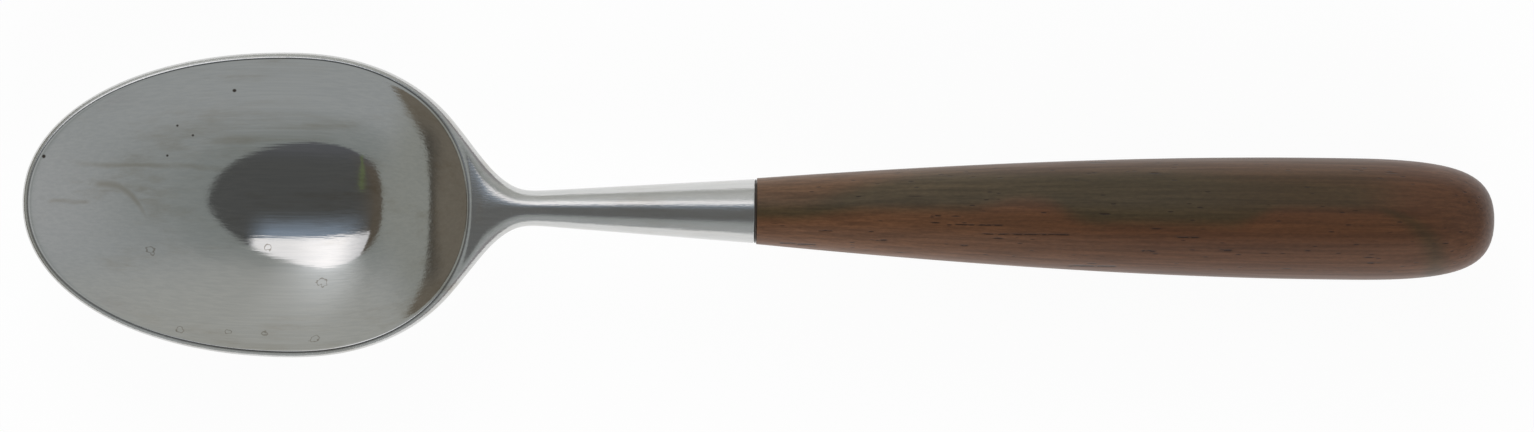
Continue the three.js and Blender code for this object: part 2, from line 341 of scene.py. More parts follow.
def neck_place(section, row, column):
    station, size = NECK_SECTIONS[section]
    across, up = section_point(row, column)
    lean = HANDLE_TILT * smooth_step(NECK_STATION, BOLSTER_STATION, station)
    rise = up * size * SECTION_GROWTH * neck_half_height(station)
    side = across * size * SECTION_GROWTH * head_half_width(station)
    return on_head(Vector((station + rise * sin(lean), side)), neck_centre(station) + rise * cos(lean))


def head_place(flat):
    """Carries a corner of the flat pattern to its place on the head."""
    share = hypot(flat.x, flat.y)
    angle = atan2(flat.y, flat.x)
    ring = round(flat.z)
    if round(share) > 1:
        return neck_place(round(share) - 2, ring - PATCH_TOP, round(angle / RING_STEP))
    if ring < RIM_FROM:
        return floor_place(FLOOR_SHARES[ring] * share, angle)
    if ring < UNDER_FROM:
        return rim_place(RIM_RINGS[ring - RIM_FROM], angle)
    if ring == UNDER_FROM:
        return under_rim_place(angle)
    return underside_place(UNDERSIDE_SHARES[ring - UNDER_FROM - 1] * share, angle)


def pattern_disc(mesh, ring):
    """A grid of quads pressed into a unit disc, with even steps round its edge."""
    made = bmesh.ops.create_grid(mesh, x_segments=DISC_CELLS, y_segments=DISC_CELLS, size=1)
    for corner in made["verts"]:
        across = sqrt(2) * sin(corner.co.x * pi / 4)
        along = sqrt(2) * sin(corner.co.y * pi / 4)
        corner.co.x = across * sqrt(1 - along * along / 2)
        corner.co.y = along * sqrt(1 - across * across / 2)
        corner.co.z = ring


def only(kind, geometry):
    return [item for item in geometry if isinstance(item, kind)]


def pattern_wall(mesh):
    """Draws the disc's edge up into one ring of quads for each ring of the head."""
    edge = [e for e in mesh.edges if e.is_boundary]
    for ring in range(1, LAST_RING + 1):
        made = bmesh.ops.extrude_edge_only(mesh, edges=edge)["geom"]
        corners = set(only(bmesh.types.BMVert, made))
        edge = [e for e in only(bmesh.types.BMEdge, made) if corners.issuperset(e.verts)]
        bmesh.ops.translate(mesh, vec=(0, 0, 1), verts=list(corners))


def in_neck_patch(corner):
    near = abs(atan2(corner.co.y, corner.co.x)) < (PATCH_COLUMNS + 0.5) * RING_STEP
    return near and PATCH_TOP <= round(corner.co.z) <= PATCH_BOTTOM


def pattern_neck(mesh):
    """Draws the patch outwards, one step for each section of the neck."""
    patch = [f for f in mesh.faces if all(in_neck_patch(v) for v in f.verts)]
    for section in range(len(NECK_SECTIONS)):
        made = bmesh.ops.extrude_face_region(mesh, geom=patch)["geom"]
        bmesh.ops.delete(mesh, geom=patch, context="FACES")
        patch = only(bmesh.types.BMFace, made)
        growth = (section + 2) / (section + 1)
        bmesh.ops.scale(mesh, vec=(growth, growth, 1), verts=only(bmesh.types.BMVert, made))


def finished_piece(name, mesh, replaced, material):
    """Turns a bmesh into a smooth piece that stands for a CAD node."""
    data = bpy.data.meshes.new(name)
    mesh.to_mesh(data)
    mesh.free()
    data.materials.append(material)
    piece = bpy.data.objects.new(name, data)
    bpy.context.scene.collection.objects.link(piece)
    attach(piece, "root")
    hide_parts(replaced)
    return piece


def steel_head(material):
    """Bowl, shoulders, neck and bolster in one skin: a flat pattern, placed, then smoothed."""
    mesh = bmesh.new()
    pattern_disc(mesh, 0)
    pattern_wall(mesh)
    pattern_disc(mesh, LAST_RING)
    bmesh.ops.remove_doubles(mesh, verts=mesh.verts, dist=0.001)
    pattern_neck(mesh)
    for corner in mesh.verts:
        corner.co = head_place(corner.co)
    mesh.normal_update()
    bmesh.ops.recalc_face_normals(mesh, faces=mesh.faces)
    for face in mesh.faces:
        face.smooth = True
    head = finished_piece("steel_head", mesh, "spoon_head", material)
    skin = head.modifiers.new("skin", "SUBSURF")
    skin.levels = SMOOTHING
    skin.render_levels = SMOOTHING
    return head


# Shape of the handle


def handle_profile():
    """Half section of the handle, from the bottom of its bore round to the middle of its end."""
    end = HANDLE_FRONT + HANDLE_LENGTH
    widest = HANDLE_FRONT + HANDLE_WIDEST
    rounding = end - HANDLE_END
    front = Vector((HANDLE_FRONT, 0, HANDLE_FRONT_RADIUS))
    control = Vector((mix(HANDLE_FRONT, widest, HANDLE_TAPER), 0, HANDLE_RADIUS))
    belly = Vector((widest, 0, HANDLE_RADIUS))
    taper = interpolate_bezier(
        front, front.lerp(control, 2 / 3), belly.lerp(control, 2 / 3), belly, TAPER_STEPS
    )
    cap = interpolate_bezier(
        Vector((rounding, 0, HANDLE_RADIUS)),
        Vector((mix(rounding, end, HANDLE_END_FULLNESS), 0, HANDLE_RADIUS)),
        Vector((end, 0, HANDLE_RADIUS * HANDLE_END_FULLNESS)),
        Vector((end, 0, 0)),
        END_STEPS,
    )
    bore = [(BORE_END, 0, 0), (BORE_END, 0, BORE_RADIUS), (HANDLE_FRONT, 0, BORE_RADIUS)]
    return [*bore, *taper, *cap]


def wooden_handle(material):
    """Turned like the real one: the half section spun about the handle's axis."""
    mesh = bmesh.new()
    corners = [mesh.verts.new(point) for point in handle_profile()]
    edges = [mesh.edges.new(pair) for pair in zip(corners, corners[1:])]
    bmesh.ops.spin(
        mesh, geom=corners + edges, cent=(0, 0, 0), axis=(1, 0, 0),
        angle=2 * pi, steps=HANDLE_SIDES, use_merge=True,
    )
    bmesh.ops.remove_doubles(mesh, verts=mesh.verts, dist=1e-7)
    bmesh.ops.recalc_face_normals(mesh, faces=mesh.faces)
    turned_edges = [e for e in mesh.edges if e.calc_face_angle(0) > radians(40)]
    bmesh.ops.bevel(
        mesh, geom=turned_edges, offset=HANDLE_EDGE, affect="EDGES",
        segments=3, profile=0.5, material=-1,
    )
    place = Matrix.Translation(JOINT) @ Matrix.Rotation(HANDLE_TILT, 4, "Y")
    bmesh.ops.transform(mesh, matrix=place, verts=mesh.verts)
    for face in mesh.faces:
        face.smooth = True
    return finished_piece("wooden_handle", mesh, "handle", material)


# Shader helpers


def node(tree, kind, inputs=None, **settings):
    """Adds a node, with its inputs set to values or joined to other nodes' outputs."""
    made = tree.nodes.new("ShaderNode" + kind)
    for name, value in settings.items():
        setattr(made, name, value)
    for name, value in (inputs or {}).items():
        if isinstance(value, bpy.types.NodeSocket):
            tree.links.new(value, made.inputs[name])
        else:
            made.inputs[name].default_value = value
    return made


def calc(tree, operation, first, second=0.0, third=0.0):
    return node(tree, "Math", {0: first, 1: second, 2: third}, operation=operation).outputs[0]


def step_between(tree, value, low, high, result_low=0.0, result_high=1.0):
    """Smooth rise of a mask as a value goes from low to high."""
    inputs = {"Value": value, "From Min": low, "From Max": high, "To Min": result_low, "To Max": result_high}
    return node(tree, "MapRange", inputs, interpolation_type="SMOOTHSTEP").outputs["Result"]


def inside(tree, value, low, high, soft):
    """Mask that is 1 between two values, with soft edges."""
    rise = step_between(tree, value, low - soft, low + soft)
    fall = step_between(tree, value, high - soft, high + soft, 1.0, 0.0)
    return calc(tree, "MULTIPLY", rise, fall)


def blend_colour(tree, share, first, second, blend="MIX"):
    made = node(tree, "Mix", {"Factor": share}, data_type="RGBA", blend_type=blend)
    for socket, value in ((made.inputs[6], first), (made.inputs[7], second)):
        if isinstance(value, bpy.types.NodeSocket):
            tree.links.new(value, socket)
        else:
            socket.default_value = (*value, 1)
    return made.outputs[2]


def noise(tree, vector, scale, detail=2.0, roughness=0.5, distortion=0.0):
    inputs = {
        "Vector": vector, "Scale": scale, "Detail": detail,
        "Roughness": roughness, "Distortion": distortion,
    }
    return node(tree, "TexNoise", inputs).outputs["Fac"]


def stretched(tree, vector, scale):
    return node(tree, "Mapping", {"Vector": vector, "Scale": scale}).outputs["Vector"]


def along_spoon(tree):
    """Coordinates with their origin at the joint, X along the handle."""
    place = node(tree, "TexCoord").outputs["Object"]
    inputs = {"Vector": place, "Location": JOINT, "Rotation": (0, HANDLE_TILT, 0)}
    return node(tree, "Mapping", inputs, vector_type="TEXTURE").outputs["Vector"]


def new_material(name):
    material = bpy.data.materials.new(name)
    material.use_nodes = True
    tree = material.node_tree
    return material, tree, tree.nodes["Principled BSDF"]


def lengthwise_lines_group():
    """Fine lines along X, as left by a polishing belt or by long wood fibres."""
    group = bpy.data.node_groups.new("lengthwise_lines", "ShaderNodeTree")
    group.interface.new_socket("Vector", in_out="INPUT", socket_type="NodeSocketVector")
    group.interface.new_socket("Fineness", in_out="INPUT", socket_type="NodeSocketFloat")
    group.interface.new_socket("Lines", in_out="OUTPUT", socket_type="NodeSocketFloat")
    start = group.nodes.new("NodeGroupInput")
    end = group.nodes.new("NodeGroupOutput")
    drawn_out = stretched(group, start.outputs["Vector"], (0.02, 1, 1))
    lines = noise(group, drawn_out, start.outputs["Fineness"], detail=3, roughness=0.6)
    group.links.new(lines, end.inputs["Lines"])
    return group


LINES = lengthwise_lines_group()


def lengthwise_lines(tree, vector, fineness):
    made = node(tree, "Group", node_tree=LINES)
    tree.links.new(vector, made.inputs["Vector"])
    made.inputs["Fineness"].default_value = fineness
    return made.outputs["Lines"]


# Materials

# Colours of the wood, each from its darkest to its lightest fibre
RED = ((0.070, 0.028, 0.0125), (0.104, 0.046, 0.0215))
# The lighter red towards the front of the handle is painted sheen, not a colour of the wood
RED_FRONT_SHEEN = ((0.088, 0.038, 0.0175), (0.132, 0.062, 0.0305))
DARK = ((0.042, 0.030, 0.013), (0.068, 0.047, 0.025))
DARK_END = ((0.041, 0.025, 0.0095), (0.066, 0.039, 0.018))
PORE_BLACK = (0.014, 0.007, 0.005)
# Where the painted sheen at the front fades out
RED_FRONT_SHEEN_FADE = (0.018, 0.045)  # distances from the joint
DARK_END_FADE = (0.042, 0.060)

# Dark band along the wood, measured from the joint
BAND_LOW = 0.0004  # its lower edge
BAND_HIGH = 0.0045  # above this it fades
BAND_HIGH_FRONT = 0.0008  # the same, at the front
BAND_WANDER = 0.003
BAND_SOFT = 0.0009
BAND_WIDENS = (0.003, 0.018)
BAND_ENDS = (0.062, 0.071)
Wave = namedtuple("Wave", "start end soft rise")
BAND_WAVES = (
    Wave(-0.01, 0.0075, 0.0045, -0.0012), Wave(0.0250, 0.0315, 0.003, 0.0009),
    Wave(0.0335, 0.0525, 0.003, -0.0014), Wave(0.054, 0.09, 0.003, 0.0008),
)
TAIL_FROM = 0.0710
TAIL_TO = 0.0730
TAIL_SIDE = -0.0046  # where the tail reaches furthest
TAIL_BEND = 160.0

# Open pores of the wood
Pore = namedtuple("Pore", "stretch fineness spread rarity")
PORES = (Pore(0.14, 1100.0, 0.13, 0.45), Pore(0.2, 2400.0, 0.2, 0.6), Pore(0.035, 900.0, 0.1, 0.75))
Dash = namedtuple("Dash", "start length side")
DASH_HALF_WIDTH = 0.00013
DASH_WANDER = 0.0006
DASHES = (
    Dash(0.0027, 0.0017, -0.0033), Dash(0.0046, 0.0019, -0.0034), Dash(0.0068, 0.0015, -0.0020),
    Dash(0.0133, 0.0007, -0.0029), Dash(0.0186, 0.0010, -0.0002), Dash(0.0211, 0.0050, -0.0011),
    Dash(0.0218, 0.0007, -0.0034), Dash(0.0238, 0.0093, -0.0021), Dash(0.0273, 0.0004, -0.0044),
    Dash(0.0333, 0.0050, -0.0053), Dash(0.0354, 0.0017, 0.0056), Dash(0.0408, 0.0015, -0.0036),
    Dash(0.0416, 0.0013, 0.0045), Dash(0.0444, 0.0024, -0.0022), Dash(0.0490, 0.0013, -0.0035),
    Dash(0.0647, 0.0007, -0.0046),
)

# Colours of the steel
STEEL = ((0.60, 0.605, 0.60), (0.65, 0.65, 0.64))  # dull and bright
STAIN_BROWN = (0.50, 0.475, 0.43)
DROP_BROWN = (0.30, 0.27, 0.23)
PIT_BLACK = (0.08, 0.065, 0.055)
SATIN_FROM = 0.955  # shares of the way from the bowl's middle to the outside of the rim
SATIN_TO = 0.975

# Wear inside the bowl
Spot = namedtuple("Spot", "station side radius")
PITS = (
    Spot(0.0222, 0.0121, 0.00022), Spot(0.0161, 0.0083, 0.00014), Spot(0.0177, 0.0073, 0.00014),
    Spot(0.0150, 0.0051, 0.00014), Spot(0.0023, 0.0048, 0.0002),
)
MARK_LINE = 0.00005  # half the width of a dried drop's outline
WATER_MARKS = (
    Spot(0.0316, -0.0082, 0.0005), Spot(0.0169, -0.0134, 0.0004), Spot(0.0219, -0.01354, 0.0003),
    Spot(0.0258, -0.0137, 0.00025), Spot(0.0312, -0.0142, 0.0004), Spot(0.0134, -0.0051, 0.0004),
    Spot(0.0257, -0.0046, 0.0003),
)
Streak = namedtuple("Streak", "start length side drop half_width")
STREAK_WANDER = 0.0008
STREAKS = (
    Streak(0.0060, 0.0148, 0.0041, 0.0003, 0.00025), Streak(0.0029, 0.0040, 0.0001, 0.0001, 0.0002),
    Streak(0.0076, 0.0051, 0.0020, 0.0031, 0.0004),
)


def bowl_floor(station, side):
    """Place on the inside of the bowl."""
    place = Vector((station, side))
    return on_head(place, rim_level(station) - BOWL_DEPTH * hollow_share(place, RIM_WIDTH))


def away_from(tree, place, spot):
    return node(tree, "VectorMath", {0: place, 1: spot}, operation="DISTANCE").outputs["Value"]


def any_of(tree, masks):
    """Greatest of several masks."""
    total = masks[0]
    for mask in masks[1:]:
        total = calc(tree, "MAXIMUM", total, mask)
    return total


def outside_bowl(tree, place):
    """Mask of the steel outside the bowl's hollow: rim, shoulders, neck and bolster."""
    centred = node(tree, "Mapping", {"Vector": place, "Location": (-TIP_X - BOWL_WIDEST, 0, 0)})
    axes = node(tree, "SeparateXYZ", {"Vector": centred.outputs["Vector"]})
    behind = calc(tree, "DIVIDE", axes.outputs["X"], BOWL_LENGTH - BOWL_WIDEST)
    ahead = calc(tree, "DIVIDE", axes.outputs["X"], -BOWL_WIDEST)
    along = calc(tree, "MAXIMUM", behind, ahead)
    side = calc(tree, "ABSOLUTE", calc(tree, "DIVIDE", axes.outputs["Y"], BOWL_HALF_WIDTH))
    power = step_between(tree, axes.outputs["X"], -0.001, 0.001, TIP_FULLNESS, REAR_FULLNESS)
    total = calc(tree, "ADD", calc(tree, "POWER", along, power), calc(tree, "POWER", side, power))
    reach = calc(tree, "POWER", total, calc(tree, "DIVIDE", 1.0, power))
    return step_between(tree, reach, SATIN_FROM, SATIN_TO)


def water_marks(tree, place):
    """Thin crooked outlines where drops have dried."""
    uneven = calc(tree, "SUBTRACT", noise(tree, place, 2200.0, detail=1), 0.5)
    outlines = []
    for mark in WATER_MARKS:
        away = away_from(tree, place, bowl_floor(mark.station, mark.side))
        away = calc(tree, "ADD", away, calc(tree, "MULTIPLY", uneven, 2.2 * mark.radius))
        outlines.append(inside(tree, away, mark.radius - MARK_LINE, mark.radius + MARK_LINE, MARK_LINE))
    return any_of(tree, outlines)


def streaks(tree, place, breaks):
    """Faint brown lines wiped along the bowl, bending aside at their ends and broken up by a pattern."""
    from_tip = node(tree, "Mapping", {"Vector": place, "Location": (-TIP_X, 0, 0)})
    axes = node(tree, "SeparateXYZ", {"Vector": from_tip.outputs["Vector"]})
    wander = calc(tree, "SUBTRACT", noise(tree, place, 320.0), 0.5)
    side = calc(tree, "MULTIPLY_ADD", wander, STREAK_WANDER, third=axes.outputs["Y"])
    lines = []
    for streak in STREAKS:
        share = calc(tree, "DIVIDE", calc(tree, "SUBTRACT", axes.outputs["X"], streak.start), streak.length)
        bend = calc(tree, "POWER", calc(tree, "MAXIMUM", share, 0.0), 3.0)
        middle = calc(tree, "MULTIPLY_ADD", bend, -streak.drop, third=streak.side)
        away = calc(tree, "ABSOLUTE", calc(tree, "SUBTRACT", side, middle))
        line = step_between(tree, away, 0.0, 2 * streak.half_width, 1.0, 0.0)
        lines.append(calc(tree, "MULTIPLY", line, inside(tree, share, 0.0, 1.0, 0.12)))
    return calc(tree, "MULTIPLY", any_of(tree, lines), step_between(tree, breaks, 0.3, 0.6))


def pits(tree, place):
    """A few pin-prick pits inside the bowl."""
    holes = []
    for pit in PITS:
        away = away_from(tree, place, bowl_floor(pit.station, pit.side))
        holes.append(step_between(tree, away, pit.radius * 0.6, pit.radius * 1.3, 1.0, 0.0))
    return any_of(tree, holes)


def polished_steel():
    """Bright inside the bowl, with fine scratches and a few marks; satin on the rim, neck and bolster."""
    material, tree, shader = new_material("polished_steel")
    place = node(tree, "TexCoord").outputs["Object"]
    satin = outside_bowl(tree, place)
    belt = lengthwise_lines(tree, place, 9000.0)
    scratches = lengthwise_lines(tree, place, 3600.0)
    smears = lengthwise_lines(tree, place, 1100.0)
    grain = noise(tree, stretched(tree, place, (0.5, 1, 1)), 6000.0)
    cloud = noise(tree, stretched(tree, place, (0.3, 1, 1)), 190.0, detail=6, roughness=0.65)
    smeared = step_between(tree, smears, 0.3, 0.65)
    stain = calc(tree, "MULTIPLY", step_between(tree, cloud, 0.46, 0.74), smeared)
    stain = calc(tree, "MAXIMUM", stain, streaks(tree, place, cloud))
    pit = pits(tree, place)
    mark = water_marks(tree, place)
    wiped = step_between(tree, scratches, 0.3, 0.7)
    bright = blend_colour(tree, wiped, *STEEL)
    bright = blend_colour(tree, stain, bright, STAIN_BROWN)
    bright = blend_colour(tree, calc(tree, "MULTIPLY", mark, 0.8), bright, DROP_BROWN)
    colour = blend_colour(tree, pit, bright, PIT_BLACK)
    tree.links.new(colour, shader.inputs["Base Color"])
    tree.links.new(step_between(tree, satin, 0.0, 1.0, 1.0, 0.9), shader.inputs["Metallic"])
    polish = step_between(tree, scratches, 0.3, 0.75, 0.04, 0.085)
    dulled = calc(tree, "ADD", calc(tree, "MULTIPLY", stain, 0.06), calc(tree, "MULTIPLY", mark, 0.12))
    polish = calc(tree, "ADD", polish, dulled)
    brushed = step_between(tree, belt, 0.2, 0.8, 0.11, 0.2)
    roughness = node(tree, "Mix", {"Factor": satin, 2: polish, 3: brushed}).outputs[0]
    tree.links.new(roughness, shader.inputs["Roughness"])
    belt_height = calc(tree, "MULTIPLY", calc(tree, "ADD", belt, grain), satin)
    scratch_height = calc(tree, "MULTIPLY", scratches, 0.5)
    height = calc(tree, "SUBTRACT", calc(tree, "ADD", belt_height, scratch_height), pit)
    bump = node(tree, "Bump", {"Height": height, "Strength": 0.06, "Distance": 0.0002})
    tree.links.new(bump.outputs["Normal"], shader.inputs["Normal"])
    return material


def wood_pores(tree, place, pore):
    """Short dark dashes along the grain, one in some of the cells of a stretched pattern."""
    inputs = {"Vector": stretched(tree, place, (pore.stretch, 1, 1)), "Scale": pore.fineness}
    cells = node(tree, "TexVoronoi", inputs)
    dash = step_between(tree, cells.outputs["Distance"], pore.spread / 2, pore.spread, 1.0, 0.0)
    rare = node(tree, "TexWhiteNoise", {"Vector": cells.outputs["Position"]}).outputs["Value"]
    return calc(tree, "MULTIPLY", dash, step_between(tree, rare, pore.rarity, pore.rarity + 0.05))


def long_dashes(tree, axes, drift, breaks):
    """Longer open pores on the upper side, slightly wavy and broken up by a pattern."""
    wander = calc(tree, "SUBTRACT", drift, 0.5)
    side = calc(tree, "MULTIPLY_ADD", wander, DASH_WANDER, third=axes.outputs["Y"])
    lines = []
    for dash in DASHES:
        reach = inside(tree, axes.outputs["X"], dash.start, dash.start + dash.length, 0.0002)
        away = calc(tree, "ABSOLUTE", calc(tree, "SUBTRACT", side, dash.side))
        line = step_between(tree, away, DASH_HALF_WIDTH / 3, DASH_HALF_WIDTH, 1.0, 0.0)
        lines.append(calc(tree, "MULTIPLY", line, reach))
    upper = step_between(tree, axes.outputs["Z"], 0.0, 0.0005)
    broken = calc(tree, "MULTIPLY", upper, step_between(tree, breaks, 0.36, 0.5))
    return calc(tree, "MULTIPLY", any_of(tree, lines), broken)


def dark_band(tree, axes, drift):
    """Mask of the dark band: it starts narrow, widens, and its tail bends round a red lens near the end."""
    along, side = axes.outputs["X"], axes.outputs["Y"]
    wander = calc(tree, "MULTIPLY", calc(tree, "SUBTRACT", drift, 0.5), BAND_WANDER)
    side = calc(tree, "ADD", side, wander)
    low = BAND_LOW
    for wave in BAND_WAVES:
        reach = inside(tree, along, wave.start, wave.end, wave.soft)
        low = calc(tree, "MULTIPLY_ADD", reach, wave.rise, third=low)
    high = step_between(tree, along, *BAND_WIDENS, BAND_HIGH_FRONT, BAND_HIGH)
    band = step_between(tree, calc(tree, "SUBTRACT", side, low), -BAND_SOFT, BAND_SOFT)
    fading = step_between(tree, calc(tree, "SUBTRACT", side, high), -0.0012, 0.0012, 1.0, 0.35)
    ending = step_between(tree, along, *BAND_ENDS, 1.0, 0.0)
    band = calc(tree, "MULTIPLY", band, calc(tree, "MULTIPLY", fading, ending))
    away = calc(tree, "SUBTRACT", side, TAIL_SIDE)
    bend = calc(tree, "MULTIPLY_ADD", calc(tree, "MULTIPLY", away, away), TAIL_BEND, third=along)
    tail = inside(tree, bend, TAIL_FROM, TAIL_TO, 0.0012)
    tail = calc(tree, "MULTIPLY", tail, step_between(tree, side, 0.001, 0.003, 0.8, 0.0))
    return calc(tree, "MAXIMUM", band, tail)


def rosewood():
    """Red-brown wood with a dark band and short open pores, lighter towards the front as painted sheen."""
    material, tree, shader = new_material("rosewood")
    place = along_spoon(tree)
    axes = node(tree, "SeparateXYZ", {"Vector": place})
    drift = noise(tree, stretched(tree, place, (0.2, 1, 1)), 170.0, detail=4)
    fibres = lengthwise_lines(tree, place, 2600.0)
    speckle = noise(tree, stretched(tree, place, (0.3, 1, 1)), 5000.0)
    tone = noise(tree, stretched(tree, place, (0.1, 1, 1)), 420.0, detail=4)
    # Painted sheen: the red is lighter towards the front
    front = step_between(tree, axes.outputs["X"], *RED_FRONT_SHEEN_FADE, 1.0, 0.0)
    end = step_between(tree, axes.outputs["X"], *DARK_END_FADE)
    red, red_front_sheen, dark, dark_end = [
        blend_colour(tree, tone, *shades) for shades in (RED, RED_FRONT_SHEEN, DARK, DARK_END)
    ]
    red = blend_colour(tree, front, red, red_front_sheen)
    dark = blend_colour(tree, end, dark, dark_end)
    colour = blend_colour(tree, dark_band(tree, axes, drift), red, dark)
    shade = step_between(tree, fibres, 0.3, 0.7, 0.78, 1.16)
    shade = calc(tree, "MULTIPLY", shade, step_between(tree, speckle, 0.2, 0.8, 0.86, 1.14))
    # Painted sheen: lightens the wood towards the front
    shade = calc(tree, "MULTIPLY", shade, step_between(tree, axes.outputs["X"], 0.0, 0.03, 1.15, 1.0))
    colour = blend_colour(tree, 1.0, colour, shade, "MULTIPLY")
    pore = any_of(tree, [wood_pores(tree, place, kind) for kind in PORES])
    pore = calc(tree, "MAXIMUM", pore, long_dashes(tree, axes, tone, speckle))
    colour = blend_colour(tree, calc(tree, "MULTIPLY", pore, 0.85), colour, PORE_BLACK)
    tree.links.new(colour, shader.inputs["Base Color"])
    tree.links.new(step_between(tree, fibres, 0.3, 0.7, 0.44, 0.36), shader.inputs["Roughness"])
    shader.inputs["Specular IOR Level"].default_value = 0.4
    height = calc(tree, "SUBTRACT", calc(tree, "MULTIPLY", fibres, 0.3), pore)
    bump = node(tree, "Bump", {"Height": height, "Strength": 0.25, "Distance": 0.0001})
    tree.links.new(bump.outputs["Normal"], shader.inputs["Normal"])
    return material


def set_resin():
    """Dark adhesive, faintly uneven where it was wiped off."""
    material, tree, shader = new_material("set_resin")
    place = node(tree, "TexCoord").outputs["Object"]
    cloud = noise(tree, place, 1500.0, detail=3)
    colour = blend_colour(tree, cloud, (0.03, 0.023, 0.018), (0.055, 0.042, 0.033))
    tree.links.new(colour, shader.inputs["Base Color"])
    tree.links.new(step_between(tree, cloud, 0.3, 0.7, 0.4, 0.6), shader.inputs["Roughness"])
    return material


def drawn_rod():
    """Dull steel rod with the lines of the drawing die along it."""
    material, tree, shader = new_material("drawn_rod")
    lines = lengthwise_lines(tree, along_spoon(tree), 6000.0)
    colour = blend_colour(tree, lines, (0.30, 0.29, 0.28), (0.42, 0.41, 0.39))
    tree.links.new(colour, shader.inputs["Base Color"])
    shader.inputs["Metallic"].default_value = 1
    tree.links.new(step_between(tree, lines, 0.3, 0.7, 0.42, 0.58), shader.inputs["Roughness"])
    return material


def refinish(name, material):
    """Gives a CAD node that is shown as it is its own finish."""
    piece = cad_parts[name]
    piece.data.materials.clear()
    piece.data.materials.append(material)


# Studio

WHITE = (1, 1, 1)
FLOOR_SIZE = 4.0
FLOOR_SHADE = 0.05  # how much of the floor's own shading shows

LAMP_SIZE = 0.6
LAMP_WATTS = 4.4
KEY_PLACE = (-0.2, 0.7, 0.32)
FILL_PLACE = (0.2, -0.7, 0.28)

# What the steel mirrors. Places overhead are on a ceiling one unit up.
ROOM = (0.402, 0.42, 0.422)
ROOM_HIGH = (0.28, 0.30, 0.292)  # next to the opening
ROOM_LIT = (0.46, 0.465, 0.44)  # on the window's side
ROOM_GLOW = (1.0, 1.02, 1.04)  # below the window
GLOW_X = -0.41
GLOW_HALF_WIDTH = 0.35
GLOW_SPREAD = 0.16  # how much wider it gets further down
GLOW_REACH = 0.85
ROOM_DIM = (0.33, 0.34, 0.315)  # beyond the tip of the bowl
ROOM_NEAR = (0.46, 0.47, 0.475)  # over the handle
ROOM_END = (0.30, 0.285, 0.295)  # low, beyond the handle
HIGH_FADE = (0.9, 2.1)  # each fade runs from its first value to its second
NEAR_FADE = (0.5, 0.8)
LIT_FADE = (0.38, 0.95)
DIM_FADE = (-0.8, -0.5)
END_FADE = (0.3, 0.5)
END_HEIGHT = (0.3, 0.55)
GLOW_FADE = (0.3, 0.5)
LEAST = 0.05  # keeps divisions finite
OPENING = (0.098, 0.10, 0.098)  # dark, straight above
OPENING_BROWN = (0.129, 0.110, 0.087)  # its side towards the tip
OPENING_PALE = (0.125, 0.128, 0.14)  # its side away from the window
OPENING_X = -0.327
OPENING_HALF_X = 0.661
OPENING_HALF_Y = 0.925
OPENING_SKEW = 0.16
OPENING_FRONT_POWERS = (3.6, 2.7)  # squareness towards the tip, away from the window and next to it
OPENING_REAR_POWER = 2.1
BROWN_FADE = (-0.85, -0.5)
PALE_FADE = (-0.9, -0.5)
WINDOW = (1.52, 1.48, 1.49)
WINDOW_DIM = (0.84, 0.83, 0.85)  # its end towards the tip
WINDOW_NEAR = (1.15, 1.13, 1.14)  # its other end
WINDOW_FROM = 0.42
WINDOW_MIDDLE = -0.25  # beyond this its edge leans
WINDOW_TILT = 0.13
WINDOW_LEFT = 0.13
WINDOW_RIGHT = -0.76
WINDOW_DIM_FADE = (-0.7, -0.36)
WINDOW_NEAR_FADE = (-0.35, 0.0)
WINDOW_SIDE = (0.30, 0.365, 0.455)  # daylight on the opening's edge above the window
DAYLIGHT_FROM = 0.05
DAYLIGHT_FADE = 0.4  # from the window's end towards the tip
LEAF = (0.148, 0.182, 0.092)  # a green strip in the opening
LEAF_X = -0.605
LEAF_BEND = 0.33
LEAF_HALF_WIDTH = 0.028
LEAF_FROM = -0.86
LEAF_TO = -0.2
WALL = (0.19, 0.168, 0.135)  # low and brown, beyond the tip
WALL_TOP = (0.085, 0.077, 0.065)
WALL_HEIGHT = 0.285
WALL_SWELL = 0.33
WALL_HALF_WIDTH = 0.93
WALL_MIDDLE = -0.03
WALL_POWER = 3.0
WALL_DARK = (0.62, 1.0)  # shares of its height between which it darkens
WALL_ENDS = (0.4, 0.75)  # shares of its half width between which that stops

PHOTO_FIELD = 0.16238  # width that the picture covers at the spoon
PHOTO_CENTRE = Vector((0.0009, -0.0005, 0.008))
PHOTO_ROLL = radians(0.76)
LENS = 180.0
SENSOR = 36.0


def from_opening(tree, x, y):
    """Distance of a ceiling place from the opening's middle: 1 on its edge, which is squarer ahead."""
    across = calc(tree, "SUBTRACT", x, OPENING_X)
    behind = step_between(tree, across, -0.1, 0.1)
    skew = calc(tree, "MULTIPLY", calc(tree, "MAXIMUM", y, 0.0), OPENING_SKEW)
    across = calc(tree, "ADD", across, calc(tree, "MULTIPLY", skew, behind))
    power = step_between(tree, y, -0.1, 0.1, *OPENING_FRONT_POWERS)
    power = node(tree, "Mix", {"Factor": behind, 2: power, 3: OPENING_REAR_POWER}).outputs[0]
    total = 0.0
    for offset, half in ((across, OPENING_HALF_X), (y, OPENING_HALF_Y)):
        share = calc(tree, "ABSOLUTE", calc(tree, "DIVIDE", offset, half))
        total = calc(tree, "ADD", calc(tree, "POWER", share, power), total)
    return calc(tree, "POWER", total, calc(tree, "DIVIDE", 1.0, power))


